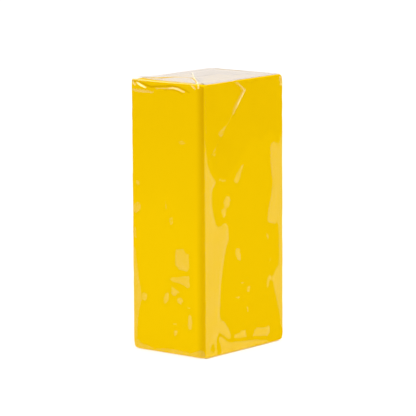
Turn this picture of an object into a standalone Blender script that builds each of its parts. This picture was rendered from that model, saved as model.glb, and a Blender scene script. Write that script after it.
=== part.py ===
"""A bar of detailing clay, folded into clear film like a parcel.

Metres, +Z up. The bar stands on one end, with its wide sides facing -Y and +Y and the middle of
its base at the origin. The film is made as panels that part along its folds: a sleeve round the
four long sides, a lap that closes the sleeve, a free corner, and at each end two tucks and two
flaps that cover them.
"""

import math

import bpy
from mathutils import Matrix, Vector

# driving dimensions
CLAY_WIDTH = 0.0334  # along X
CLAY_DEPTH = 0.0248  # along Y
CLAY_HEIGHT = 0.0719  # along Z
CLAY_EDGE_RADIUS = 0.0010
FILM = 0.0001  # wall of a film panel
GAP = 0.0002  # between two panels, and between film and clay

# the sleeve and its lap
SLEEVE_CORNER_RADIUS = 0.0011  # inner radius of its upright corners
ARC_STEPS = 6
SEAM_FROM = -0.0035  # the sleeve's two edges, on the +Y side
SEAM_TO = -0.0020
LAP_FROM = -0.0040
LAP_TO = 0.0075

# the free corner of the sheet, a right angle turned 45 degrees, on the -Y side
LAP_CORNER_REACH = 0.0176  # from the bar's -X side to the tip
LAP_CORNER_DROP = 0.0030  # from the bar's top to the tip
LAP_CORNER_ROOT = 0.0006  # from the bar's -X side to the hinge

# the folded ends
TUCK_DEPTH = 0.0102
TUCK_MARGIN = 0.0004  # from a fold's corner to the sleeve's corner, along the hinge
INNER_FLAP_LENGTH = 0.0110
INNER_FLAP_TAPER = 0.0100  # how much narrower each side gets towards its free edge
OUTER_FLAP_LENGTH = 0.0210
OUTER_FLAP_LEFT_TAPER = 0.0194
OUTER_FLAP_RIGHT_TAPER = 0.0035

# what follows from them
LAYER = GAP + FILM
HEIGHT = CLAY_HEIGHT + 6 * LAYER  # three layers at each end
INNER_X = CLAY_WIDTH / 2 + GAP  # inner faces of the sleeve
INNER_Y = CLAY_DEPTH / 2 + GAP
OUTER_X = INNER_X + FILM
OUTER_Y = INNER_Y + FILM
HINGE_X = INNER_X - GAP  # the end panels turn just inside the sleeve's rim
HINGE_Y = INNER_Y - GAP

CLAY_YELLOW = (0.87, 0.55, 0.01, 1.0)
FILM_CLEAR = (0.93, 0.93, 0.90, 1.0)
FILM_ALPHA = 0.35


def clear_scene():
    for old in list(bpy.data.objects):
        bpy.data.objects.remove(old, do_unlink=True)


def make_material(name, colour, roughness, alpha=1.0):
    material = bpy.data.materials.new(name)
    material.use_nodes = True
    shader = material.node_tree.nodes["Principled BSDF"]
    shader.inputs["Base Color"].default_value = colour
    shader.inputs["Roughness"].default_value = roughness
    shader.inputs["Metallic"].default_value = 0.0
    shader.inputs["Alpha"].default_value = alpha
    return material


def add_clay(collection):
    """A block with its edges rounded by pressing."""
    bpy.ops.mesh.primitive_cube_add(size=1.0)
    clay = bpy.context.object
    clay.name = clay.data.name = "clay_bar"
    clay.data.transform(Matrix.Diagonal((CLAY_WIDTH, CLAY_DEPTH, CLAY_HEIGHT, 1.0)))
    clay.location = (0.0, 0.0, HEIGHT / 2)
    edges = clay.modifiers.new("rounded_edges", "BEVEL")
    edges.width = CLAY_EDGE_RADIUS
    edges.segments = 3
    clay.data.shade_smooth()
    clay.data.set_sharp_from_angle(angle=math.radians(40))
    clay.data.materials.append(make_material("clay", CLAY_YELLOW, 0.55))
    for home in list(clay.users_collection):
        home.objects.unlink(clay)
    collection.objects.link(clay)


def sleeve_path():
    """The sleeve's inner line, from one seam edge round all four corners to the other."""
    radius = SLEEVE_CORNER_RADIUS
    points = [Vector((SEAM_TO, INNER_Y))]
    for corner, (side_x, side_y) in enumerate(((1, 1), (1, -1), (-1, -1), (-1, 1))):
        centre = Vector((side_x * (INNER_X - radius), side_y * (INNER_Y - radius)))
        start = math.radians(90 - 90 * corner)
        for step in range(ARC_STEPS + 1):
            angle = start - math.radians(90) * step / ARC_STEPS
            points.append(centre + radius * Vector((math.cos(angle), math.sin(angle))))
    points.append(Vector((SEAM_FROM, INNER_Y)))
    return points


def add_sleeve(collection):
    """A ribbon along the path, as tall as the bar, thickened outwards."""
    points = sleeve_path()
    ribbon = bpy.data.curves.new("sleeve_ribbon", "CURVE")
    ribbon.dimensions = "3D"
    ribbon.extrude = HEIGHT / 2
    line = ribbon.splines.new("POLY")
    line.points.add(len(points) - 1)
    for point, place in zip(line.points, points):
        point.co = (place.x, place.y, HEIGHT / 2, 1.0)
    holder = bpy.data.objects.new("sleeve_ribbon", ribbon)
    collection.objects.link(holder)
    bpy.context.view_layer.update()
    evaluated = holder.evaluated_get(bpy.context.evaluated_depsgraph_get())
    mesh = bpy.data.meshes.new_from_object(evaluated)
    bpy.data.objects.remove(holder, do_unlink=True)

    sleeve = bpy.data.objects.new("film_sleeve", mesh)
    collection.objects.link(sleeve)
    centre = Vector((0.0, 0.0, HEIGHT / 2))
    outwards = sum(face.normal.dot(face.center - centre) for face in mesh.polygons)
    wall = sleeve.modifiers.new("film_wall", "SOLIDIFY")
    wall.thickness = FILM
    wall.offset = 1.0 if outwards > 0 else -1.0
    wall.use_even_offset = True
    mesh.materials.clear()
    mesh.materials.append(make_material("film_sleeve", FILM_CLEAR, 0.12, FILM_ALPHA))


def add_panel(collection, name, outline, hinge, along, outward):
    """A flat film panel under its hinge: outline is (along the hinge, away from it) in metres.

    The hinge is an empty on the joint's axis. Its X runs along the hinge, its Z out of the
    bar and its Y into the panel, which lies just under the empty's XY plane.
    """
    along, outward = Vector(along), Vector(outward)
    into = outward.cross(along)
    axis = bpy.data.objects.new(name + "_hinge", None)
    axis.empty_display_size = 0.004
    axis.matrix_world = Matrix.Translation(hinge) @ Matrix((along, into, outward)).transposed().to_4x4()
    collection.objects.link(axis)

    sheet = bpy.data.curves.new(name, "CURVE")
    sheet.dimensions = "2D"
    sheet.fill_mode = "BOTH"
    sheet.extrude = FILM / 2
    edge = sheet.splines.new("POLY")
    edge.points.add(len(outline) - 1)
    for point, (x, y) in zip(edge.points, outline):
        point.co = (x, y, 0.0, 1.0)
    edge.use_cyclic_u = True
    sheet.materials.append(make_material(name, FILM_CLEAR, 0.12, FILM_ALPHA))
    panel = bpy.data.objects.new(name, sheet)
    panel.parent = axis
    panel.location = (0.0, 0.0, -FILM / 2)
    collection.objects.link(panel)


def add_laps(collection):
    """The upright lap that closes the sleeve on +Y, and the sheet's free corner on -Y."""
    lap_width = LAP_TO - LAP_FROM
    add_panel(
        collection,
        "side_lap",
        [(0.0, 0.0), (HEIGHT, 0.0), (HEIGHT, lap_width), (0.0, lap_width)],
        hinge=(LAP_FROM, OUTER_Y + LAYER, 0.0),
        along=(0.0, 0.0, 1.0),
        outward=(0.0, 1.0, 0.0),
    )
    top = HEIGHT - GAP
    reach = LAP_CORNER_REACH - LAP_CORNER_ROOT
    tip = top - (LAP_CORNER_DROP - GAP)
    add_panel(
        collection,
        "lap_corner",
        [(-top, 0.0), (-tip + reach, 0.0), (-tip, reach), (-top, reach - (top - tip))],
        hinge=(-OUTER_X + LAP_CORNER_ROOT, -OUTER_Y - LAYER, 0.0),
        along=(0.0, 0.0, -1.0),
        outward=(0.0, -1.0, 0.0),
    )


def add_end(collection, name, up):
    """One folded end: two tucks, the inner flap over them, then the outer flap. up is 1 or -1."""
    face = (0.0, 0.0, up)
    level = [HEIGHT if up > 0 else 0.0]
    level += [level[0] - up * LAYER, level[0] - 2 * up * LAYER]

    half = HINGE_Y - TUCK_MARGIN
    tuck = [(-half, 0.0), (half, 0.0), (half - TUCK_DEPTH, TUCK_DEPTH), (TUCK_DEPTH - half, TUCK_DEPTH)]
    for side, sign in (("left", -1), ("right", 1)):
        hinge = (sign * HINGE_X, 0.0, level[2])
        along = (0.0, sign * up, 0.0)
        add_panel(collection, f"{name}_{side}_tuck", tuck, hinge, along, face)

    half = HINGE_X - TUCK_MARGIN
    inner = [
        (-half, 0.0),
        (half, 0.0),
        (half - INNER_FLAP_TAPER, INNER_FLAP_LENGTH),
        (INNER_FLAP_TAPER - half, INNER_FLAP_LENGTH),
    ]
    add_panel(collection, f"{name}_inner_flap", inner, (0.0, HINGE_Y, level[1]), (-up, 0.0, 0.0), face)

    outer = [
        (-half, 0.0),
        (half, 0.0),
        (half - OUTER_FLAP_RIGHT_TAPER, OUTER_FLAP_LENGTH),
        (OUTER_FLAP_LEFT_TAPER - half, OUTER_FLAP_LENGTH),
    ]
    outer = [(up * x, y) for x, y in outer]
    add_panel(collection, f"{name}_outer_flap", outer, (0.0, -HINGE_Y, level[0]), (up, 0.0, 0.0), face)


def main():
    clear_scene()
    bar = bpy.data.collections.new("clay_bar_in_film")
    bpy.context.scene.collection.children.link(bar)
    add_clay(bar)
    add_sleeve(bar)
    add_laps(bar)
    add_end(bar, "top", 1)
    add_end(bar, "bottom", -1)


main()
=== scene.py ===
import math

import bpy
import numpy as np
from mathutils import Matrix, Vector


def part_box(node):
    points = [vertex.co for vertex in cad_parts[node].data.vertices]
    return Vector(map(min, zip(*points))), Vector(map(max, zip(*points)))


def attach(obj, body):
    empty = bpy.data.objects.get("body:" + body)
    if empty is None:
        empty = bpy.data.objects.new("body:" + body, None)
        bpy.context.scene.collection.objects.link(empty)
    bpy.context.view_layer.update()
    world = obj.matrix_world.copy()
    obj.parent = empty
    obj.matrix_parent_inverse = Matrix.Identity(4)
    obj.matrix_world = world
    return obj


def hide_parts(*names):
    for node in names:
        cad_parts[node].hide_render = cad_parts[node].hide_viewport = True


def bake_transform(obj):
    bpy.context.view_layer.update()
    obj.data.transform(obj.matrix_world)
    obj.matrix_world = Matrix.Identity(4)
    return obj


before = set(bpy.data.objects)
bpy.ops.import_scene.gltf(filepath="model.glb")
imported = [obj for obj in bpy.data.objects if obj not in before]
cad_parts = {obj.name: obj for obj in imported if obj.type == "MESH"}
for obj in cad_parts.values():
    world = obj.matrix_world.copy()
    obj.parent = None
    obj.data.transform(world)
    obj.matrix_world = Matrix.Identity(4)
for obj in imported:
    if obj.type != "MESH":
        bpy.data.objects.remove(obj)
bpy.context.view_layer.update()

mm = 0.001
sleeveLow, sleeveHigh = (np.array(corner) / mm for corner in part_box("film_sleeve"))
wide, deep, tall = sleeveHigh - sleeveLow
girth = 2 * (wide + deep)
farEdge = -deep  # g of the upright edge between -X and +Y

# All shapes are worked out in millimetres. A place on the bar's skin is (g, h): g runs round the
# bar from the upright edge between -X and -Y, along -Y, +X, +Y and back along -X, and h runs
# down from the top edge. h is negative on the top face and more than tall on the base.

bar = {
    "uprightRadius": 0.6,
    "endRadius": 0.5,
    "endDepth": 0.12,  # how far the sleeve's lips lie inside the top and the base
    "edgeBlend": 0.6,  # width over which a side's look gives way to the top's
    "baseBlend": 0.5,  # and to the base's
    "clayDepth": 0.045,  # from the sleeve's outer face to the clay
    "filmThickness": 0.02,
    "unevenness": 0.006,  # of a film that lies on the clay
    "unevenPitch": 3.0,
    "lipWidth": 3.6,
    "step": 0.47,  # spacing of the film's grid
    "fineStep": 0.22,  # and where it is creased: the top, and the narrow side near it
    "farStep": 0.85,  # and on the far sides
}


def smooth(x):
    # 3x^2 - 2x^3 between 0 and 1, flat outside
    x = np.clip(x, 0, 1)
    return x * x * (3 - 2 * x)


def within(distance, fade):
    # 1 inside a shape and 0 outside, going smoothly from one to the other over the fade
    return smooth(0.5 - distance / fade)


def ripple(a, b, pitch, seed):
    # soft noise from -1 to 1: random values on a square lattice of this pitch, joined by smooth()
    size, shift = 64, 500  # the lattice repeats after size, and shift keeps a and b positive
    values = np.random.default_rng(seed).uniform(-1, 1, (size, size))
    a = np.asarray(a) / pitch + shift
    b = np.asarray(b) / pitch + shift
    i, j = np.floor(a).astype(int), np.floor(b).astype(int)
    s, t = smooth(a - i), smooth(b - j)
    left, right, low, high = i % size, (i + 1) % size, j % size, (j + 1) % size
    near = values[left, low] * (1 - s) + values[right, low] * s
    far = values[left, high] * (1 - s) + values[right, high] * s
    return near * (1 - t) + far * t


def ovalDistance(g, h, place, size, turn):
    # distance from an oval's outline, negative inside: the point's length in units of the oval's
    # half sizes, less 1, times the smaller half size
    c, s = math.cos(math.radians(turn)), math.sin(math.radians(turn))
    x, y = g - place[0], h - place[1]
    across, along = (x * c + y * s) / (size[0] / 2), (y * c - x * s) / (size[1] / 2)
    return (np.hypot(across, along) - 1) * min(size) / 2


def edgeDistance(g, h, start, end):
    # distance from a straight edge, and how far along it the nearest point is, from 0 to 1
    ex, ey = end[0] - start[0], end[1] - start[1]
    along = np.clip(((g - start[0]) * ex + (h - start[1]) * ey) / (ex * ex + ey * ey), 0, 1)
    return np.hypot(g - start[0] - along * ex, h - start[1] - along * ey), along


def outlineDistance(g, h, points):
    # distance from a closed outline, negative inside: the nearest edge's, with the even-odd rule
    far, inside = np.full(np.shape(g), 1e9), np.zeros(np.shape(g), bool)
    for start, end in zip(points, points[1:] + points[:1]):
        far = np.minimum(far, edgeDistance(g, h, start, end)[0])
        if start[1] != end[1]:
            cross = start[0] + (h - start[1]) * (end[0] - start[0]) / (end[1] - start[1])
            inside ^= ((h < start[1]) != (h < end[1])) & (g < cross)
    return np.where(inside, -far, far)


def strokeDistance(g, h, points):
    # distance from a brush stroke, negative inside: from its line, less half its width there.
    # points are (g, h, width), with an even taper between
    far = np.full(np.shape(g), 1e9)
    for start, end in zip(points, points[1:]):
        reach, along = edgeDistance(g, h, start, end)
        far = np.minimum(far, reach - (start[2] + (end[2] - start[2]) * along) / 2)
    return far


def runs(stops, steps):
    # values from the first stop to the last, through every stop, no further apart than the step;
    # steps is one step, or one for each run between two stops
    steps = np.broadcast_to(steps, len(stops) - 1)
    parts = [np.linspace(a, b, max(2, math.ceil((b - a) / step) + 1))[:-1]
             for a, b, step in zip(stops, stops[1:], steps)]
    return np.append(np.concatenate(parts), stops[-1])


def meshPiece(name, points, quads, fields):
    # a smooth-shaded object from points in mm, faces, and numbers kept on its points
    mesh = bpy.data.meshes.new(name)
    mesh.from_pydata((points * mm).tolist(), [], quads.tolist())
    mesh.shade_smooth()
    for field, values in fields.items():
        attribute = mesh.attributes.new(field, "FLOAT", "POINT")
        attribute.data.foreach_set("value", values.astype(np.float32))
    piece = bpy.data.objects.new(name, mesh)
    bpy.context.scene.collection.objects.link(piece)
    return piece


def gridPiece(name, points, fields, ring=False, flip=False):
    # a grid of points (rows, columns, 3) as quads; ring joins the last column to the first
    if flip:
        points, fields = points[::-1], {field: values[::-1] for field, values in fields.items()}
    index = np.arange(points[..., 0].size).reshape(points.shape[:2])
    left, right = (index, np.roll(index, -1, 1)) if ring else (index[:, :-1], index[:, 1:])
    quads = np.stack([left[:-1], right[:-1], right[1:], left[1:]], -1).reshape(-1, 4)
    fields = {field: values.ravel() for field, values in fields.items()}
    return meshPiece(name, points.reshape(-1, 3), quads, fields)


def roundTheBar(g, inset, halfX, halfY):
    # a rectangle with round corners, inset evenly: a core point (a, b) plus the corner radius along
    # the normal, which turns 45 degrees within one radius of each upright edge
    radius = bar["uprightRadius"]
    sides = np.array([wide, deep, wide, deep])
    starts = np.concatenate([[0], np.cumsum(sides)])
    g = np.mod(g, girth)
    side = np.clip(np.searchsorted(starts, g, side="right") - 1, 0, 3)
    q, length = g - starts[side], sides[side]
    turn = np.clip(1 - (length - q) / radius, 0, 1) - np.clip(1 - q / radius, 0, 1)
    angle = np.radians(90 * (side - 1) + 45 * turn)
    along = np.clip((q - radius) / (length - 2 * radius), 0, 1) * 2 - 1
    a = np.choose(side, [along, 1, -along, -1])
    b = np.choose(side, [-1, along, 1, -along])
    corner = np.maximum(radius - inset, 0.05)  # past the edge the corner stays a little round
    x = a * (halfX - inset - corner) + corner * np.cos(angle)
    y = b * (halfY - inset - corner) + corner * np.sin(angle)
    return x, y, angle


def overTheEnds(h):
    # the upright profile: flat over each end, a quarter round at each edge, straight between.
    # Gives the inset from the sides, the height, and the normal's lean from level
    radius, low, high = bar["endRadius"], bar["endDepth"], tall - bar["endDepth"]
    upper = np.radians(90) * np.clip((radius - h) / (2 * radius), 0, 1)
    lower = np.radians(90) * np.clip((radius - (tall - h)) / (2 * radius), 0, 1)
    pastEdge = np.maximum(-radius - h, 0) + np.maximum(h - tall - radius, 0)
    inset = radius * (1 - np.cos(upper - lower)) + pastEdge
    share = np.clip((h - radius) / (tall - 2 * radius), 0, 1)
    z = high - radius + (low - high + 2 * radius) * share + radius * (np.sin(upper) - np.sin(lower))
    return inset, z, upper - lower


class Wire:
    # one output socket of a node tree; arithmetic on it adds Math nodes
    def __init__(self, tree, socket):
        self.tree = tree
        self.socket = socket

    def maths(self, operation, *values):
        inputs = dict(enumerate(values))
        return addNode(self.tree, "ShaderNodeMath", {"operation": operation}, inputs)

    def __add__(self, other):
        return self.maths("ADD", self, other)

    def __sub__(self, other):
        return self.maths("SUBTRACT", self, other)

    def __rsub__(self, other):
        return self.maths("SUBTRACT", other, self)

    def __mul__(self, other):
        return self.maths("MULTIPLY", self, other)

    def __pow__(self, other):
        return self.maths("POWER", self, other)

    def highest(self, other):
        return self.maths("MAXIMUM", self, other)

    def rise(self, low, high):
        # smoothly from 0 to 1 as the value goes from low to high
        settings = {"interpolation_type": "SMOOTHSTEP"}
        inputs = {"Value": self, "From Min": low, "From Max": high}
        return addNode(self.tree, "ShaderNodeMapRange", settings, inputs)


def addNode(tree, kind, settings=None, inputs=None, output=0):
    # a node of this kind: settings first, then each input as a value or a wire. Gives one output
    # as a wire
    node = tree.nodes.new(kind)
    for key, value in (settings or {}).items():
        setattr(node, key, value)
    for key, value in (inputs or {}).items():
        if isinstance(value, Wire):
            tree.links.new(value.socket, node.inputs[key])
        else:
            node.inputs[key].default_value = value
    return Wire(tree, node.outputs[output])


def addAttribute(tree, name):
    # a number kept on the mesh's points
    return addNode(tree, "ShaderNodeAttribute", {"attribute_name": name}, output="Fac")


def addNoise(tree, place, scale, detail):
    # noise from about -0.5 to 0.5
    inputs = {"Vector": place, "Scale": scale, "Detail": detail}
    return addNode(tree, "ShaderNodeTexNoise", None, inputs) - 0.5


def addMix(tree, share, first, second):
    # a colour that goes from the first to the second as the share goes from 0 to 1
    inputs = {0: share, 6: first, 7: second}
    return addNode(tree, "ShaderNodeMix", {"data_type": "RGBA"}, inputs, output=2)


def addBump(tree, height, look):
    inputs = {"Height": height, "Strength": look["grainStrength"], "Distance": look["grainDepth"]}
    return addNode(tree, "ShaderNodeBump", None, inputs, output="Normal")


def newMaterial(name):
    # an empty node material: itself, its tree and its output's surface socket
    material = bpy.data.materials.new(name)
    material.use_nodes = True
    tree = material.node_tree
    tree.nodes.clear()
    return material, tree, tree.nodes.new("ShaderNodeOutputMaterial").inputs["Surface"]


filmLook = {
    "headOn": 0.020,  # what one face of loose film mirrors head-on
    "grazing": 1.9,  # and how much more at a grazing angle
    "grazingPower": 7,  # the higher, the closer to grazing
    "wetShare": 0.12,  # the same for film that has wetted on to the clay
    "wetPower": 9,
    "patchiness": 0.5,  # how much the head-on mirror varies from place to place
    "patchScale": 260.0,
    "pocketEdge": 0.10,  # mm over which a pocket's edge fades
    "waver": 0.22,  # mm by which a pocket's edge wavers
    "waverScale": 900.0,
    "roughness": 0.07,
    "creaseRoughness": 0.4,  # added where a crease is whitened and has its painted highlight
    # painted highlight: pale warm white of a whitened crease, also for lamp light caught in it
    "whiteningAndHighlightColour": (1.0, 0.97, 0.55, 1.0),
    "creaseGlint": (0.55, 0.50, 0.20, 1.0),  # its own light, for facets too small to model
    "creaseFrom": 0.02,  # a crease's whitening and painted highlight start here
    "creaseTo": 0.2,  # and are full here
    "grainScale": 2500.0,
    "grainStrength": 0.1,
    "grainDepth": 0.00003,
}
white = (1.0, 1.0, 1.0, 1.0)
black = (0.0, 0.0, 0.0, 1.0)


def filmMaterial(look):
    # clear film: where it has wetted on to the clay it hardly shows; where air is under it, each
    # face mirrors a little, and more at grazing angles; a sharp crease is whitened and given a
    # painted highlight: a pale warm colour and a painted glint
    material, tree, surface = newMaterial("clearFilm")
    place = addNode(tree, "ShaderNodeTexCoord", output="Object")
    air = addAttribute(tree, "air")
    whiteningAndHighlight = addAttribute(tree, "whiteningAndHighlight")
    air = air + addNoise(tree, place, look["waverScale"], 2.0) * (2 * look["waver"])
    loose = air.rise(-look["pocketEdge"], look["pocketEdge"])
    patches = addNoise(tree, place, look["patchScale"], 2.0) * (2 * look["patchiness"])
    headOn = (patches + 1) * look["headOn"]
    facing = addNode(tree, "ShaderNodeLayerWeight", None, {"Blend": 0.5}, output="Facing")
    looseMirror = facing ** look["grazingPower"] * look["grazing"] + headOn
    wetMirror = facing ** look["wetPower"] * look["wetShare"]
    mirror = loose * looseMirror + (1 - loose) * wetMirror
    grain = addNoise(tree, place, look["grainScale"], 3.0)
    whitenedAndHighlit = whiteningAndHighlight.rise(look["creaseFrom"], look["creaseTo"])
    film = addNode(tree, "ShaderNodeBsdfPrincipled", None, {
        "Base Color": addMix(tree, whitenedAndHighlit, white, look["whiteningAndHighlightColour"]),
        "Emission Color": addMix(tree, whitenedAndHighlit, black, look["creaseGlint"]),
        "Emission Strength": 1.0,
        "Metallic": 1 - whitenedAndHighlit,
        "Roughness": whitenedAndHighlit * look["creaseRoughness"] + look["roughness"],
        "Alpha": mirror.highest(whiteningAndHighlight),
        "Normal": addBump(tree, grain, look),
    })
    tree.links.new(film.socket, surface)
    return material


clayLook = {
    "yellow": (0.872, 0.579, 0.0006, 1.0),
    "deep": (0.588, 0.328, 0.0003, 1.0),  # painted shade: front edge, folds and the darker area
    "cloudScale": 70.0,  # slow changes of colour
    "cloudSpread": 0.06,
    "roughness": 0.6,
    "roughnessSpread": 0.2,
    "grainScale": 1800.0,
    "grainStrength": 0.25,
    "grainDepth": 0.00005,
}


def clayMaterial(look):
    # dense yellow clay: its colour goes from yellow to deep with the shade kept on its points,
    # which is mostly painted shade, and wanders slightly, and it has a fine grain
    material, tree, surface = newMaterial("yellowClay")
    place = addNode(tree, "ShaderNodeTexCoord", output="Object")
    cloud = addNoise(tree, place, look["cloudScale"], 3.0) * look["cloudSpread"]
    shade = addAttribute(tree, "shade") + cloud
    grain = addNoise(tree, place, look["grainScale"], 5.0)
    clay = addNode(tree, "ShaderNodeBsdfPrincipled", None, {
        "Base Color": addMix(tree, shade, look["yellow"], look["deep"]),
        "Roughness": grain * look["roughnessSpread"] + look["roughness"],
        "Specular IOR Level": 0.0,
        "Normal": addBump(tree, grain, look),
    })
    tree.links.new(clay.socket, surface)
    return material


yellowClay = clayMaterial(clayLook)
clearFilm = filmMaterial(filmLook)


def finishFilm(piece, node, turnsFrom=None):
    # gives a film surface its wall and material, and lets it stand for its CAD panel. A panel that
    # turns about a fold is given turnsFrom, (start, end) in mm, but is not bent there: it is baked
    # where it stands and not attached to a body, and those values are not used
    wall = piece.modifiers.new("filmWall", "SOLIDIFY")
    wall.thickness = bar["filmThickness"] * mm
    wall.offset = -1.0
    normals = piece.modifiers.new("flatNormals", "WEIGHTED_NORMAL")
    normals.weight = 100
    piece.data.materials.append(clearFilm)
    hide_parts(node)
    if turnsFrom is None:
        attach(piece, "wrapped_bar" if node == "film_sleeve" else node)
    else:
        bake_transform(piece)
    return piece


def fromFarEdge(*points):
    # places on the narrow side, with g counted from its far upright edge
    return [(farEdge + g, h, width) for g, h, width in points]


clayShape = {
    "dent": 0.03,  # shallow waves from pressing
    "dentPitch": 6,
    "edgeRadius": 0.6,
    "edgeDent": 0.10,  # how uneven the edges are
    "edgePitch": 2.4,
    "vertexDent": 0.30,  # how much further in the corners are
    "vertexRise": 0.25,  # but for the one at the far left of the top, which is drawn up
    "vertexReach": 2.5,
    "gridStep": 0.55,
    "fineStep": 0.22,  # near the top, where folds press into it
    "fineReach": 3.0,
    "weldWithin": 0.01,
}

# how deep the clay's colour looks, from 0 to 1: mostly painted shade, besides wetted and hidden
# tones
clayShades = {
    # painted shade: the narrow side is a little darker, for how light falls on it
    "narrowSide": 0.09,
    "wetted": 0.06,  # where the film has wetted on to the clay
    "paintedShadeWideSide": 0.16,  # painted shade where wetted on the wide side
    "wetFade": 0.6,  # mm over which that comes on round a pocket of air
    "wetStart": 0.4,
    # under this outline the clay is darker
    "darkerOutline": [
        (-1.5, -3), (35, -3), (35, 14.5), (31, 16.2), (28, 15.2), (24.5, 16.6), (20, 16.4),
        (17.5, 18.5), (15.5, 21), (12.8, 23.6), (9.6, 26.3), (6.6, 26.0), (4.0, 23.0), (2.0, 18),
        (-1.5, 14),
    ],
    "darkerArea": 0.08,
    "darkerFade": 1.8,
    "darkerWaver": 0.6,  # how unevenly its edge runs
    "waverPitch": 2.2,
    "darkerPatches": 0.35,  # how much its depth varies from place to place
    "patchPitch": 3.5,
    "nearTop": 0.14,  # painted shade, falling slowly from the top of the narrow side
    "nearTopReach": 48,
    "nearTopElsewhere": 0.25,  # share of that on the other sides
    # painted shade along the top edge, so its rounding doesn't look lit from above
    "topEdge": 0.22,
    "topEdgeWideSide": 0.44,
    "topEdgeReach": 0.9,
    "frontEdge": 0.66,  # painted shade: a deep band beside the front upright edge
    "frontEdgeReach": 4.2,  # on the narrow side
    "frontEdgeWrap": 0.7,  # and on the wide side
    "frontEdgeGain": 0.35,  # how much deeper it is at the top
    "frontEdgeGainReach": 40,
    # painted shadow: a thin dark line along the base's edge
    "baseEdge": 0.6,
    "baseEdgeReach": 0.7,
    "fold": 1.0,  # painted shade where a fold presses into the clay
    "foldFade": 0.4,
    "foldFadeOnTop": 0.5,
    # such folds on the narrow side, as (g, h, width)
    "foldLines": [
        fromFarEdge((0.5, 0.75, 0.3), (2.3, 0.6, 0.4), (4.1, 1.0, 0.45), (6.0, 1.5, 0.5),
                    (7.2, 1.75, 0.55), (10.4, 1.4, 0.45), (13.8, 1.05, 0.5), (16.2, 1.1, 0.5),
                    (18.9, 1.75, 0.4), (20.4, 2.4, 0.3)),
        fromFarEdge((12.0, 2.25, 0.25), (14.6, 2.0, 0.3), (16.4, 2.25, 0.3), (18.2, 2.9, 0.25)),
    ],
    "hidden": 0.102,  # on the sides that don't show, give or take the spread
    "hiddenSpread": 0.06,
    "hiddenPitch": 9,
}


def clayShade(g, h):
    # on the two sides that show: a painted shade for the side, a darker area and a painted slow
    # fall from the top are added up; the painted shade of the edges and pressed folds is at least
    # as deep as its own value
    look = clayShades
    outline = outlineDistance(g, h, look["darkerOutline"])
    outline += look["darkerWaver"] * ripple(g, h, look["waverPitch"], 4)
    darkerArea = within(outline, look["darkerFade"])
    darkerArea *= 1 + look["darkerPatches"] * ripple(g, h, look["patchPitch"], 9)
    narrowSide = (g < 0) & (g > farEdge)
    fall = smooth(1 - h / look["nearTopReach"]) * np.where(narrowSide, 1, look["nearTopElsewhere"])
    wetted = 1 - smooth(airUnder(g, h) / look["wetFade"] + look["wetStart"])
    shade = look["narrowSide"] * (g < 0) + darkerArea * look["darkerArea"] + fall * look["nearTop"]
    shade += wetted * (look["wetted"] + look["paintedShadeWideSide"] * (g > 0))
    topEdge = np.where(g > 0, look["topEdgeWideSide"], look["topEdge"])
    shade += smooth(1 - h / look["topEdgeReach"]) * topEdge
    reach = np.where(g < 0, look["frontEdgeReach"], look["frontEdgeWrap"])
    gain = 1 + look["frontEdgeGain"] * smooth(1 - h / look["frontEdgeGainReach"])
    shade = np.maximum(shade, smooth(1 - np.abs(g) / reach) * look["frontEdge"] * gain)
    for points in look["foldLines"]:
        near = within(strokeDistance(g, h, points), look["foldFade"])
        shade = np.maximum(shade, near * look["fold"])
    return np.maximum(shade, smooth(1 - (tall - h) / look["baseEdgeReach"]) * look["baseEdge"])


def endShade(x, y):
    # the same on the top: painted shade along the lines where the folded film presses into it
    shade = np.full(x.shape, clayShades["wetted"])
    for points in folds["pressed"]:
        distance = strokeDistance(x + wide / 2, y + deep / 2, points)
        near = within(distance, clayShades["foldFadeOnTop"])
        shade = np.maximum(shade, near * clayShades["fold"])
    return shade


def blockSide(axis, sign, half):
    # one side of the block as a grid, and the shade of its points: each point of the box is held to
    # the core box and pushed out from there by the edge radius, less dents
    radius, fine = clayShape["edgeRadius"], clayShape["fineStep"]
    spans = [(axis + 1) % 3, (axis + 2) % 3]
    lines = []
    for k in spans:
        upper = half[k] - (clayShape["fineReach"] if k == 2 else 2 * radius)
        stops = [-half[k], -half[k] + 2 * radius, upper, half[k]]
        lines.append(runs(stops, [fine, clayShape["gridStep"], fine]))
    box = np.zeros((lines[0].size, lines[1].size, 3))
    box[..., axis] = sign * half[axis]
    box[..., spans[0]], box[..., spans[1]] = np.meshgrid(*lines, indexing="ij")
    x, y, z = box[..., 0], box[..., 1], box[..., 2]
    core = np.clip(box, -(half - radius), half - radius)
    out = (box - core) / np.linalg.norm(box - core, axis=-1, keepdims=True)

    gaps = np.sort(half - np.abs(box), -1)  # how far a point is from the box's sides, nearest first
    waves = (1 + ripple(x + y, z - y, clayShape["dentPitch"], 11)) / 2
    edgeWaves = (1 + ripple(x + y, z - y, clayShape["edgePitch"], 12)) / 2
    dent = clayShape["dent"] * waves + clayShape["edgeDent"] * smooth(1 - gaps[..., 1]) * edgeWaves
    drawnUp = (x < 0) & (y > 0) & (z > 0)
    nearVertex = smooth(1 - (gaps[..., 1] + gaps[..., 2]) / clayShape["vertexReach"])
    dent += nearVertex * ~drawnUp * clayShape["vertexDent"]
    place = core + out * (radius - dent[..., None])
    place[..., 2] += nearVertex * drawnUp * clayShape["vertexRise"] + tall / 2

    if (axis, sign) == (1, -1):
        return place, clayShade(x + wide / 2, tall / 2 - z)
    if (axis, sign) == (0, -1):
        return place, clayShade(-y - deep / 2, tall / 2 - z)
    if (axis, sign) == (2, 1):
        return place, endShade(x, y)
    patches = clayShades["hiddenSpread"] * ripple(x + y, z, clayShades["hiddenPitch"], 13)
    return place, clayShades["hidden"] + patches


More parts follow.
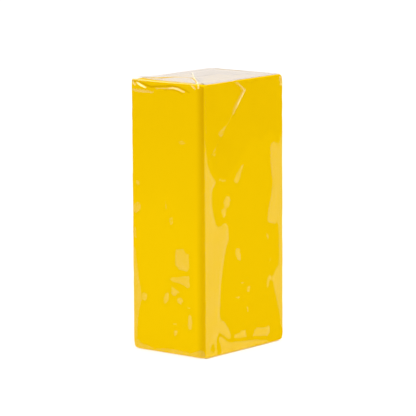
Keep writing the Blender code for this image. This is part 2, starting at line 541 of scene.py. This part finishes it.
def buildClay():
    # the six sides of the block, welded into one closed mesh
    half = np.array([wide / 2, deep / 2, tall / 2 - bar["endDepth"]]) - bar["clayDepth"]
    points, quads, shades, count = [], [], [], 0
    for axis in range(3):
        for sign in (-1, 1):
            place, shade = blockSide(axis, sign, half)
            index = np.arange(shade.size).reshape(shade.shape) + count
            corners = index[:-1, :-1], index[1:, :-1], index[1:, 1:], index[:-1, 1:]
            cells = np.stack(corners, -1).reshape(-1, 4)
            quads.append(cells if sign > 0 else cells[:, ::-1])
            points.append(place.reshape(-1, 3))
            shades.append(shade.ravel())
            count += shade.size
    fields = {"shade": np.concatenate(shades)}
    piece = meshPiece("clayBlock", np.concatenate(points), np.concatenate(quads), fields)
    weld = piece.modifiers.new("joinSides", "WELD")
    weld.merge_threshold = clayShape["weldWithin"] * mm
    piece.data.materials.append(yellowClay)
    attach(piece, "wrapped_bar")
    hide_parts("clay_bar")
    return piece


pockets = {
    "laidOutFor": 33.2,  # width of the wide side that the places below were laid out on
    # outlines of the large pockets of air, as (g, h)
    "outlines": {
        "frontStrip": [
            (0.3, 14.5), (0.9, 17.5), (1.5, 21.5), (3.6, 24.8), (4.8, 26.6), (3.4, 28.4),
            (3.1, 31.5), (3.8, 35.3), (5.0, 38.2), (6.6, 38.6), (8.4, 37.6), (9.8, 38.6),
            (10.0, 42.8), (8.9, 44.6), (7.8, 49), (6.8, 54), (6.4, 59), (6.2, 63.6), (8.2, 64.8),
            (9.8, 66.8), (10.8, 68.6), (10.5, 75.5), (0.4, 75.5),
        ],
        "rightStrip": [
            (35, 15), (32.2, 16.6), (30.8, 19.2), (29.2, 18.1), (27.5, 18.6), (27.5, 23),
            (28.0, 27), (28.4, 29.8), (27.8, 32.5), (26.7, 36), (26.0, 39.6), (27.2, 40.3),
            (29.5, 40.8), (30.6, 40.2), (31.0, 44), (31.1, 52.4), (29.2, 53.8), (28.2, 55.8),
            (29.3, 59.5), (31.0, 65), (31.8, 69), (33.0, 72), (35, 73),
        ],
        "leftStrip": [
            (-27, 44.5), (-23.7, 45.7), (-23.0, 50), (-22.6, 54.5), (-21.6, 57.5), (-21.7, 60),
            (-22.5, 63), (-23.1, 68), (-23.2, 71), (-21.6, 72.1), (-16.8, 72.8), (-10.8, 72.2),
            (-4.8, 72.6), (-1.4, 71.2), (0, 71.8), (0.5, 75.5), (-27, 75.5),
        ],
        "window": [
            (-9.8, 45.0), (-8.4, 44.5), (-7.2, 44.6), (-6.4, 45.6), (-5.2, 45.6), (-5.2, 49.6),
            (-6.2, 50.6), (-8.6, 50.2), (-9.8, 49.2),
        ],
        "wedge": [
            (-11.9, 53.1), (-11.0, 52.6), (-5.2, 51.6), (-5.1, 55.0), (-6.2, 54.9), (-7.2, 54.2),
            (-11.0, 53.8),
        ],
        "arrow": [(-11.3, 55.0), (-8.4, 56.4), (-10.2, 57.7), (-11.2, 57.2)],
        "lowPatch": [
            (11.9, 68.9), (14.6, 68.6), (15.0, 68.1), (16.8, 68.4), (17.3, 70.3), (12.2, 70.0),
        ],
        "lowWindow": [
            (20.6, 69.0), (21.6, 68.3), (24.6, 69.0), (26.6, 68.4), (27.3, 69.8), (26.4, 71.8),
            (19.4, 70.8),
        ],
        "lowBand": [
            (10.6, 70.6), (14, 71.0), (20, 71.6), (25, 72.4), (28, 73.6), (28, 75.5),
            (10.6, 75.5),
        ],
    },
    # small pockets: (g, h), (width, height), turn in degrees, how open from 0 to 1
    "ovals": [
        ((6.9, 13.7), (1.9, 1.9), 0, 0.6),
        ((4.2, 18.2), (1.4, 2.7), 0, 0.5),
        ((7.4, 26.1), (2.8, 0.9), 12, 0.6),
        ((9.4, 32.2), (2.5, 3.7), 15, 1.0),
        ((8.0, 35.0), (1.8, 2.8), -10, 1.0),
        ((13.9, 47.0), (2.0, 4.0), -22, 1.0),
        ((18.2, 57.2), (1.5, 2.0), 10, 1.0),
        ((15.6, 55.2), (1.6, 0.8), 0, 0.5),
        ((17.8, 62.6), (0.8, 1.7), 0, 0.5),
        ((13.3, 58.8), (2.6, 0.7), 8, 0.5),
        ((26.1, 43.9), (1.2, 2.0), -20, 0.5),
        ((27.5, 50.3), (1.2, 1.6), 0, 0.45),
        ((-20.6, 59.0), (1.8, 2.3), 0, 1.0),
        ((-22.6, 28.0), (1.9, 1.6), 0, 0.5),
        ((-23.0, 34.7), (2.6, 3.0), 40, 1.0),
        ((-23.5, 41.8), (1.1, 2.8), 0, 0.6),
        ((-7.5, 15.7), (2.4, 1.3), 0, 0.5),
        ((-12.9, 33.0), (0.5, 2.0), 0, 0.5),
        ((-11.2, 37.3), (1.3, 2.0), 0, 0.6),
        ((-13.1, 58.5), (1.5, 3.5), 18, 1.0),
        ((-8.4, 58.7), (1.9, 1.9), 0, 1.0),
        ((-5.3, 60.3), (1.0, 0.9), 0, 0.5),
        ((-5.0, 64.2), (1.4, 4.1), 0, 1.0),
        ((-10.0, 67.7), (1.4, 1.9), 0, 1.0),
        ((-9.9, 65.2), (1.2, 0.6), 0, 0.5),
        ((-7.6, 64.9), (0.9, 0.8), 0, 0.5),
    ],
    # brush strokes of air: (g, h, width)
    "strokes": [
        [(15.8, 23.3, 0.9), (14.4, 25.2, 1.5), (13.3, 26.7, 2.0)],
        [(9.0, 11.7, 0.5), (7.2, 13.2, 1.2)],
        [(28.2, 55.9, 0.9), (27.0, 55.0, 0.9), (26.4, 56.2, 1.0), (26.2, 57.6, 0.9)],
    ],
    # lines where a fold holds the film down through a pocket
    "pinches": [
        [(2.4, 71.4, 0.7), (3.2, 70.4, 1.1), (3.6, 71.8, 1.2)],
        [
            (5.9, 72.4, 1.7), (5.7, 71.0, 1.4), (5.2, 69.0, 0.7), (5.9, 67.7, 0.7),
            (7.4, 68.4, 0.75), (9.6, 70.0, 0.8), (13, 70.4, 0.75), (18, 70.7, 0.75),
            (22, 71.3, 0.75), (26, 71.9, 0.9), (30, 72.4, 1.4),
        ],
    ],
    "smallDepth": 0.2,  # how far inside its edge a fully open small pocket counts
    "shut": 0.4,  # and how open one is that doesn't show
    "onClay": -2.0,  # how far from the nearest pocket counts as far
    "baseHem": 0.35,  # where the film is drawn tight over the base's edge
    "bulge": 0.16,  # how far a large pocket lifts the film
    "bulgeReach": 1.3,
}

# seeded small pockets over the far sides, and long ones along their upright edges
strayAir = {
    "seed": 7,
    "count": 34,
    "margin": 2,
    "heights": (0.15, 0.97),  # as a share of the bar's height, from the top
    "crowding": 0.7,  # a power: below 1 moves them towards the base
    "widths": (0.8, 2.6),
    "lengths": (1.0, 4.2),
    "turn": 30,
    "openings": (0.5, 1),
    "smallDepth": 0.4,
    "edgeCount": 7,
    "edgePlaces": (wide + deep, wide + deep - 0.6, -deep - 0.7),
    "edgeSpread": 0.5,
    "edgeFrom": 18,  # from the top
    "edgeTo": 8,  # from the base
    "edgeWidths": (1.5, 3.4),
    "edgeLengths": (8, 20),
    "edgeTurn": 3,
}


def strayPockets():
    # as the ovals above: place, size, turn and how open
    look, draw = strayAir, np.random.default_rng(strayAir["seed"])
    spots = []
    for _ in range(look["count"]):
        g = draw.uniform(wide + look["margin"], girth - deep - look["margin"])
        h = tall * draw.uniform(*look["heights"]) ** look["crowding"]
        size = draw.uniform(*look["widths"]), draw.uniform(*look["lengths"])
        turn = draw.uniform(-look["turn"], look["turn"])
        g = g if g < girth / 2 else g - girth
        spots.append(((g, h), size, turn, draw.uniform(*look["openings"])))
    for _ in range(look["edgeCount"]):
        g = look["edgePlaces"][draw.integers(len(look["edgePlaces"]))]
        g += draw.uniform(-look["edgeSpread"], look["edgeSpread"])
        size = draw.uniform(*look["edgeWidths"]), draw.uniform(*look["edgeLengths"])
        h = draw.uniform(look["edgeFrom"], tall - look["edgeTo"])
        g = g if g < girth / 2 else g - girth
        spots.append(((g, h), size, draw.uniform(-look["edgeTurn"], look["edgeTurn"]), 1.0))
    return spots


def airUnder(g, h):
    # how far inside a pocket of air each place is, in mm: negative where the film lies on the clay.
    # A small pocket that is less open counts as less deep
    air = np.full(np.shape(g), pockets["onClay"])
    u = g * pockets["laidOutFor"] / wide
    for points in pockets["outlines"].values():
        air = np.maximum(air, -outlineDistance(u, h, points))
    for place, size, turn, opening in pockets["ovals"]:
        inside = -ovalDistance(u, h, place, size, turn)
        if opening < 1:
            inside = np.minimum(inside, (opening - pockets["shut"]) * pockets["smallDepth"])
        air = np.maximum(air, inside)
    for place, size, turn, opening in strayPockets():
        depth = (opening - pockets["shut"]) * strayAir["smallDepth"]
        air = np.maximum(air, np.minimum(-ovalDistance(g, h, place, size, turn), depth))
    for points in pockets["strokes"]:
        air = np.maximum(air, -strokeDistance(u, h, points))
    for points in pockets["pinches"]:
        air = np.minimum(air, strokeDistance(u, h, points))
    return np.minimum(air, tall - pockets["baseHem"] - h)


def skinLift(g, h):
    # how far the sleeve stands off its nominal face: on the sides, bulge x smooth(depth into a
    # pocket), and everywhere a slight unevenness
    onSides = within(-h, bar["edgeBlend"]) * smooth((tall - h) / bar["baseBlend"])
    bulge = pockets["bulge"] * smooth(airUnder(g, h) / pockets["bulgeReach"]) * onSides
    return bulge + bar["unevenness"] * (1 + ripple(g, h, bar["unevenPitch"], 21))


folds = {
    "reach": 3.6,  # how far down the creases go
    # creases near the top, whitened and painted as highlights: how white, then (g, h, width)
    "creases": [
        (0.62, fromFarEdge((2.4, 0.9, 0.15), (3.6, 1.4, 0.4), (5.4, 2.0, 0.1))),
        (0.05, fromFarEdge((0.8, 2.8, 0.5), (3.5, 3.0, 0.9), (8.0, 3.0, 0.4))),
        (0.28, fromFarEdge((0.8, 0.85, 0.2), (1.7, 1.5, 0.25))),
        (0.30, fromFarEdge((0.2, 0.25, 0.2), (3.5, 0.2, 0.2), (8.8, 0.05, 0.2), (11.7, -0.1, 0.2),
                           (22.3, -0.25, 0.2))),
        (0.08, fromFarEdge((9.0, 1.95, 0.15), (13.4, 1.65, 0.2))),
        (0.28, fromFarEdge((13.4, 1.65, 0.15), (14.9, 1.4, 0.3), (16.6, 1.6, 0.35),
                           (18.8, 2.25, 0.2))),
        (0.28, fromFarEdge((21.2, 0.2, 0.15), (22.4, 1.0, 0.25))),
        (0.45, [(wide - 1.4, 0.7, 0.2), (wide - 1.2, 2.8, 0.3)]),
    ],
    "fade": 0.35,
    "height": 0.08,
    "looseOnEnds": 0.6,
    # on the ends, as (x, y, width) from the front upright edge: where folds press down to the clay
    "pressed": [
        [(0.3, 24.4, 1.3), (2.3, 21.2, 1.4), (4.9, 19.4, 2.0), (7.2, 19.2, 2.1), (9.4, 18.4, 1.6),
         (10.3, 16.8, 1.0), (10.9, 15.2, 0.6), (10.8, 13.2, 0.45), (8.9, 10.7, 0.4),
         (5.3, 7.0, 0.4), (2.2, 4.3, 0.45)],
        [(31.9, 3, 0.6), (32.3, 14, 0.5), (32.0, 22, 0.6)],
    ],
    "leftHem": 1.4,  # how far in the film lies on the clay along the narrow side
    "frontHem": 0.8,  # and along the wide side, right of frontHemFrom
    "frontHemFrom": 11,
    "frontHemBlend": 3,
    "frontHemOverlap": 0.3,
    "earHeight": 0.38,  # how far the film stands up at the far left corner of the top
    "earReach": 12.0,
    "earRoot": 1.2,  # how far down the side that starts
    "airOnBase": -0.5,
}


def airOnEnd(x, y):
    # the same as airUnder, for the folded ends: loose but for the pressed lines and hems
    px, py = x + wide / 2, y + deep / 2
    air = np.full(np.shape(x), folds["looseOnEnds"])
    for points in folds["pressed"]:
        air = np.minimum(air, strokeDistance(px, py, points))
    air = np.minimum(air, px - folds["leftHem"])
    hem = folds["frontHem"] * smooth((px - folds["frontHemFrom"]) / folds["frontHemBlend"])
    return np.minimum(air, py - hem + folds["frontHemOverlap"])


buildClay()
print("clay block made")


def earLift(x, y):
    # the film stands up at one corner of the top: height x smooth(1 - distance / reach)
    return folds["earHeight"] * smooth(1 - np.hypot(x + wide / 2, y - deep / 2) / folds["earReach"])


def buildSleeve():
    # the skin of the bar as one closed ring with a lip over each end, raised by skinLift and by the
    # height of a crease, times smooth() across it
    radius, lip, turn = bar["uprightRadius"], bar["lipWidth"], bar["endRadius"]
    step, fine, far = bar["step"], bar["fineStep"], bar["farStep"]
    stops = [-girth / 2, -girth / 2 + radius, girth / 2 - radius, girth / 2]
    stops[2:2] = [corner + side * radius for corner in (-deep, 0.0, wide) for side in (-1, 1)]
    columns = runs(stops, [fine, far, fine, fine, fine, step, fine, far, fine])[:-1]
    rows = runs([-lip, -turn, turn, folds["reach"], tall - turn, tall + turn, tall + lip],
                [step, fine, fine, step, fine, step])
    h, g = np.meshgrid(rows, columns, indexing="ij")
    inset, z, lean = overTheEnds(h)
    x, y, angle = roundTheBar(g, inset, wide / 2, deep / 2)
    whiteningAndHighlight = np.zeros(g.shape)
    ridge = np.zeros(g.shape)
    # each crease's white is whitened film and a painted highlight
    for whiteAndHighlight, points in folds["creases"]:
        near = within(strokeDistance(g, h, points), folds["fade"])
        whiteningAndHighlight = np.maximum(whiteningAndHighlight, near * whiteAndHighlight)
        ridge = np.maximum(ridge, near)
    onTop = within(h, bar["edgeBlend"])
    onBase = smooth(1 + (h - tall) / bar["baseBlend"])
    air = airUnder(g, h) * (1 - onTop) + airOnEnd(x, y) * onTop
    air = air * (1 - onBase) + folds["airOnBase"] * onBase
    lift = skinLift(g, h) + folds["height"] * ridge
    z += earLift(x, y) * smooth(1 - h / folds["earRoot"])
    across, upward = lift * np.cos(lean), lift * np.sin(lean)
    points = [x + across * np.cos(angle), y + across * np.sin(angle), z + upward]
    fields = {"air": air, "whiteningAndHighlight": whiteningAndHighlight}
    piece = gridPiece("filmSleeve", np.stack(points, -1), fields, ring=True, flip=True)
    return finishFilm(piece, "film_sleeve")


buildSleeve()
print("film sleeve made")


ends = {
    "margin": 0.7,  # from a flap's side to the upright edge, along the fold
    "start": 1.0,  # how far down the side a flap begins
    "climb": 1.4,  # within what distance it gets to its own level
    "blend": 0.5,  # width over which the side's look gives way to the end's
    "unevenness": 0.003,
    "unevenPitch": 3.0,
    # length past the edge, how much narrower each side gets, and how bowed the first one is;
    # level over the sleeve, and how far the free edges of the top's curl up
    "outer": {"length": 21.3, "tapers": (19.4, 3.5), "bow": 1.1,
              "level": 0.105, "curl": 0.04, "seed": 35},
    "inner": {"length": 12.0, "tapers": (10.0, 10.0), "bow": 1.0,
              "level": 0.075, "curl": 0.03, "seed": 33},
    "tuck": {"length": 12.3, "tapers": (9.4, 9.4), "bow": 1.0,
             "level": 0.045, "curl": 0.02, "seed": 31},
    "curlWidth": 1.2,
    "curlFrom": 2,  # from the fold
    # a white crease on the top, whitened and painted as a highlight, as (x, y, width) from the
    # front upright edge
    "hem": [(0.0, 1.7, 0.2), (1.3, 3.1, 0.24), (5.0, 6.6, 0.12), (7.6, 9.1, 0.04),
            (15.6, 16.6, 0.0), (20.5, 20.9, -0.04)],
    "hemWhiteAndHighlight": 0.33,
    "hemHeight": 0.05,
    "hemFade": 0.35,
    "dome": 0.10,  # how far the left tuck stands up between the flaps
    "domeSlope": 1.5,
    "domeReach": 3,  # from the fold
    "hingeInset": 0.9,  # a panel bends from this far down the side to this far in on the end
}


def buildEndPanel(name, node, outward, half, width, middle, shape, up):
    # a panel that starts on the side, rounds the edge and lies on the end. At distance t past the
    # edge, a row runs between the two tapered sides (the first goes in as the share of the length
    # to the power bow), on the profile of overTheEnds plus the panel's level.
    # outward, half and width are its side's direction, distance from the middle and width, and
    # middle is the g of that side's middle
    turn, length = bar["endRadius"], shape["length"]
    step = bar["fineStep"] if up > 0 else bar["step"]
    u, t = np.meshgrid(np.linspace(0, 1, int(width / step) + 2),
                       runs([-ends["start"], -turn, turn, length], step))
    share, root = np.clip(t / length, 0, 1), width / 2 - ends["margin"]
    start = -root + shape["tapers"][0] * share ** shape["bow"]
    end = root - shape["tapers"][1] * share
    s, h = start + (end - start) * u, -t if up > 0 else tall + t
    inset, z, lean = overTheEnds(h)
    outward = np.array(outward, float)
    flat = s[..., None] * np.cross((0, 0, 1), outward) + (half - inset)[..., None] * outward
    px, py = flat[..., 0] + wide / 2, flat[..., 1] + deep / 2
    past = within(-t, ends["blend"])
    air = airOnEnd(flat[..., 0], flat[..., 1]) * past - (1 - past)

    climbed = smooth((t + ends["start"]) / ends["climb"])
    lift = skinLift(middle + s, h) - bar["unevenness"] + bar["filmThickness"]
    lift += (shape["level"] - bar["filmThickness"]) * climbed
    lift += ends["unevenness"] * ripple(s, t, ends["unevenPitch"], shape["seed"])
    whiteningAndHighlight = np.zeros(s.shape)
    if up > 0:
        toEdge = np.minimum(np.minimum(s - start, end - s), length - t)
        curled = smooth(1 - toEdge / ends["curlWidth"]) * smooth(t - ends["curlFrom"])
        lift += shape["curl"] * curled
        z += earLift(flat[..., 0], flat[..., 1]) * smooth(1 + t / folds["earRoot"])
        near = within(strokeDistance(px, py, ends["hem"]), ends["hemFade"])
        whiteningAndHighlight = near * ends["hemWhiteAndHighlight"]
        lift += near * ends["hemHeight"]
    if name == "topLeftTuckFilm":
        lift += ends["dome"] * smooth(ends["domeSlope"] * air * smooth(t / ends["domeReach"]))
    points = flat + (lift * np.cos(lean))[..., None] * outward
    points[..., 2] += z + lift * np.sin(lean)
    piece = gridPiece(name, points, {"air": air, "whiteningAndHighlight": whiteningAndHighlight}, flip=up < 0)

    edge, inside = tall if up > 0 else 0.0, ends["hingeInset"]
    onSide = outward * half + (0, 0, edge - up * inside)
    onEnd = outward * (half - inside) + (0, 0, edge)
    cut = shape["tapers"][0] / (1 + shape["bow"]) + shape["tapers"][1] / 2
    length += ends["start"]
    area = (2 * root * length - cut * shape["length"]) * mm * mm
    size = (2 * root * mm, length * mm)
    return finishFilm(piece, node, (onSide, onEnd))


def buildEnd(end, up):
    # the two tucks, the inner flap over them and the outer flap over that
    leftSide = (-1, 0, 0), wide / 2, deep, -deep / 2
    rightSide = (1, 0, 0), wide / 2, deep, wide + deep / 2
    backSide = (0, 1, 0), deep / 2, wide, -deep - wide / 2
    frontSide = (0, -1, 0), deep / 2, wide, wide / 2
    buildEndPanel(f"{end}LeftTuckFilm", f"{end}_left_tuck", *leftSide, ends["tuck"], up)
    buildEndPanel(f"{end}RightTuckFilm", f"{end}_right_tuck", *rightSide, ends["tuck"], up)
    buildEndPanel(f"{end}InnerFlapFilm", f"{end}_inner_flap", *backSide, ends["inner"], up)
    buildEndPanel(f"{end}OuterFlapFilm", f"{end}_outer_flap", *frontSide, ends["outer"], up)


buildEnd("top", 1)
buildEnd("bottom", -1)
print("folded ends made")


laps = {
    # the sheet's free corner on the wide side, as (g, h): root top, root bottom, tip, top
    "corner": [(0.9, 0.35), (0.9, 21.6), (17.5, 2.9), (13.7, 0.35)],
    "cornerGrid": (90, 80),
    # air along its edges, as (g, h, width)
    "cornerAir": [(12.9, -0.4, 1.5), (14.9, 1.1, 1.6), (17.0, 2.8, 1.5), (15.5, 5.0, 2.2),
                  (13.8, 6.9, 2.4), (12.2, 8.6, 1.0)],
    # a whiter line along two of them, and a faint one beyond: whitened film and painted highlight
    "cornerCrease": [(12.9, -0.4, 0.3), (14.9, 1.1, 0.4), (17.0, 2.85, 0.35), (15.6, 5.0, 0.8),
                     (14.0, 6.9, 0.9), (13.1, 8.2, 0.1)],
    "cornerFaint": [(13.1, 8.0, 0.1), (10.6, 11.2, 0.3), (8.9, 12.9, 0.6)],
    "creaseWhiteAndHighlight": 0.16,
    "faintWhiteAndHighlight": 0.06,
    "creaseFade": 0.6,
    "cornerLift": 0.035,
    "cornerCurl": 0.16,
    "cornerCurlFade": 0.5,
    "cornerCurlStart": 0.4,
    "cornerShare": 0.62,  # the corner's area as a share of its width times its height
    # the lap down the far side, from its fold to its free edge, as x
    "lapFrom": -4.0,
    "lapTo": 7.5,
    "lapMargin": 0.6,  # from the top and the base
    "lapGrid": (26, 150),
    "lapLift": 0.035,
    "lapCurl": 0.12,
    "lapCurlWidth": 1.3,
    "lapCurlWaves": 0.5,
    "lapCurlPitch": 5,
    "lapAir": 1.0,  # width of the air along its free edge
    "lapAirWaves": 1.2,
    "lapAirPitch": 4.0,
}


def buildLapCorner():
    # a bilinear mix of four corners on -Y, raised evenly and lifted along its free edges
    a, b, c, d = (np.array(corner) for corner in laps["corner"])
    rows, columns = laps["cornerGrid"]
    v, u = np.meshgrid(np.linspace(0, 1, rows), np.linspace(0, 1, columns), indexing="ij")
    root = [a[k] * (1 - v) + b[k] * v for k in (0, 1)]
    free = [d[k] * (1 - v) + c[k] * v for k in (0, 1)]
    g, h = (root[k] * (1 - u) + free[k] * u for k in (0, 1))
    air = np.maximum(-1.0, -strokeDistance(g, h, laps["cornerAir"]))
    lift = skinLift(g, h) + laps["cornerLift"]
    lift += laps["cornerCurl"] * smooth(air / laps["cornerCurlFade"] + laps["cornerCurlStart"])
    whiteningAndHighlight = np.zeros(g.shape)
    for line, whiteAndHighlight in (("cornerCrease", "creaseWhiteAndHighlight"), ("cornerFaint", "faintWhiteAndHighlight")):
        near = within(strokeDistance(g, h, laps[line]), laps["creaseFade"])
        whiteningAndHighlight += near * laps[whiteAndHighlight]
    points = np.stack([g - wide / 2, -deep / 2 - lift, tall - h], -1)
    piece = gridPiece("lapCornerFilm", points, {"air": air, "whiteningAndHighlight": whiteningAndHighlight}, flip=True)
    return finishFilm(piece, "lap_corner")


def buildSideLap():
    # the lap that closes the sleeve on +Y: a flat strip, its free edge a little raised and wavy
    margin, (columns, rows) = laps["lapMargin"], laps["lapGrid"]
    x, z = np.meshgrid(np.linspace(laps["lapFrom"], laps["lapTo"], columns),
                       np.linspace(margin, tall - margin, rows))
    toFree = laps["lapTo"] - x
    raised = smooth(1 - toFree / laps["lapCurlWidth"])
    raised *= 1 + laps["lapCurlWaves"] * ripple(z, z * 0, laps["lapCurlPitch"], 44)
    lift = skinLift(-deep - wide / 2 - x, tall - z) + laps["lapLift"] + laps["lapCurl"] * raised
    air = laps["lapAir"] - toFree + laps["lapAirWaves"] * ripple(x, z, laps["lapAirPitch"], 43)
    points = np.stack([x, deep / 2 + lift, z], -1)
    piece = gridPiece("sideLapFilm", points, {"air": air, "whiteningAndHighlight": np.zeros(x.shape)}, flip=True)
    return finishFilm(piece, "side_lap")


buildLapCorner()
buildSideLap()
print("laps made")


studio = {
    "azimuth": -50.35,
    "elevation": 9.106,
    "distance": 0.8135,
    "roll": -0.32,
    "lens": 259.6,
    "sensor": 36.0,
    "shift": (-0.0004, 0.0070),
    "clip": (0.05, 20.0),
    "bounces": 32,  # through layers of clear film
    "horizon": (0.94, 0.86, 0.785, 1.0),
    "zenith": (1.0, 0.99, 0.98, 1.0),
    "horizonTo": 0.25,  # as the height of a direction, from -1 to 1
    "zenithFrom": 0.75,
    "cameraSideDip": 0.2,  # the room is this much darker behind the camera
    "dipElevation": 10,
    "dipFrom": 0.35,  # as the cosine of the angle from its middle
    "floorSize": 4.0,
    "floorGlow": 0.60,
    "floorColour": (0.5, 0.5, 0.5, 1.0),
    "floorRoughness": 0.9,
    "softboxPower": 3.0,
    "softboxSize": (0.3, 0.8),
    "softboxPlace": (-50, 72, 0.9),  # azimuth, elevation, distance
}


def standAt(azimuth, elevation, distance, roll=0.0):
    # a frame at this azimuth, elevation and distance, looking along its own -Z at the bar's middle
    a, e = math.radians(azimuth), math.radians(elevation)
    back = np.array([math.sin(a) * math.cos(e), -math.cos(a) * math.cos(e), math.sin(e)])
    right = np.array([math.cos(a), math.sin(a), 0])
    up = np.cross(back, right)
    c, s = math.cos(math.radians(roll)), math.sin(math.radians(roll))
    place = np.eye(4)
    place[:3, 0], place[:3, 1], place[:3, 2] = right * c + up * s, up * c - right * s, back
    place[:3, 3] = np.array([0, 0, tall / 2 * mm]) + back * distance
    return Matrix(place.tolist())


def buildCamera(scene):
    camera = bpy.data.objects.new("camera", bpy.data.cameras.new("camera"))
    camera.data.lens, camera.data.sensor_width = studio["lens"], studio["sensor"]
    camera.data.shift_x, camera.data.shift_y = studio["shift"]
    camera.data.clip_start, camera.data.clip_end = studio["clip"]
    scene.collection.objects.link(camera)
    place = studio["azimuth"], studio["elevation"], studio["distance"], studio["roll"]
    camera.matrix_world = standAt(*place)
    scene.camera = camera


def buildRoom(scene):
    # a soft white room: warmer at the horizon, and less bright on the camera's side
    world = bpy.data.worlds.new("softWhiteRoom")
    world.use_nodes = True
    scene.world = world
    tree = world.node_tree
    tree.nodes.clear()
    sky = addNode(tree, "ShaderNodeTexCoord", output="Generated")
    dot = {"operation": "DOT_PRODUCT"}
    toCamera = tuple(standAt(studio["azimuth"], studio["dipElevation"], 1).col[2][:3])
    height = addNode(tree, "ShaderNodeVectorMath", dot, {0: sky, 1: (0, 0, 1)}, output="Value")
    near = addNode(tree, "ShaderNodeVectorMath", dot, {0: sky, 1: toCamera}, output="Value")
    climb = height.rise(studio["horizonTo"], studio["zenithFrom"])
    colour = addMix(tree, climb, studio["horizon"], studio["zenith"])
    strength = 1 - near.rise(studio["dipFrom"], 1.0) * studio["cameraSideDip"]
    glow = addNode(tree, "ShaderNodeBackground", None, {"Color": colour, "Strength": strength})
    tree.links.new(glow.socket, tree.nodes.new("ShaderNodeOutputWorld").inputs["Surface"])


def buildFloor(scene):
    side = studio["floorSize"] / 2
    corners = [(-side, -side, 0), (side, -side, 0), (side, side, 0), (-side, side, 0)]
    floor = bpy.data.objects.new("floor", bpy.data.meshes.new("floor"))
    floor.data.from_pydata(corners, [], [(0, 1, 2, 3)])
    scene.collection.objects.link(floor)
    material, tree, surface = newMaterial("paleFloor")
    pale = addNode(tree, "ShaderNodeBsdfPrincipled", None, {
        "Base Color": studio["floorColour"],
        "Roughness": studio["floorRoughness"],
        "Specular IOR Level": 0.0,
        "Emission Color": white,
        "Emission Strength": studio["floorGlow"],
    })
    tree.links.new(pale.socket, surface)
    floor.data.materials.append(material)


def buildSoftbox(scene):
    lamp = bpy.data.lights.new("overheadSoftbox", "AREA")
    lamp.shape, lamp.energy = "RECTANGLE", studio["softboxPower"]
    lamp.size, lamp.size_y = studio["softboxSize"]
    softbox = bpy.data.objects.new("overheadSoftbox", lamp)
    scene.collection.objects.link(softbox)
    softbox.matrix_world = standAt(*studio["softboxPlace"])


def buildStudio():
    scene = bpy.context.scene
    scene.view_settings.view_transform = "Standard"
    scene.cycles.transparent_max_bounces = studio["bounces"]
    buildCamera(scene)
    buildRoom(scene)
    buildFloor(scene)
    buildSoftbox(scene)


buildStudio()
print("studio made")
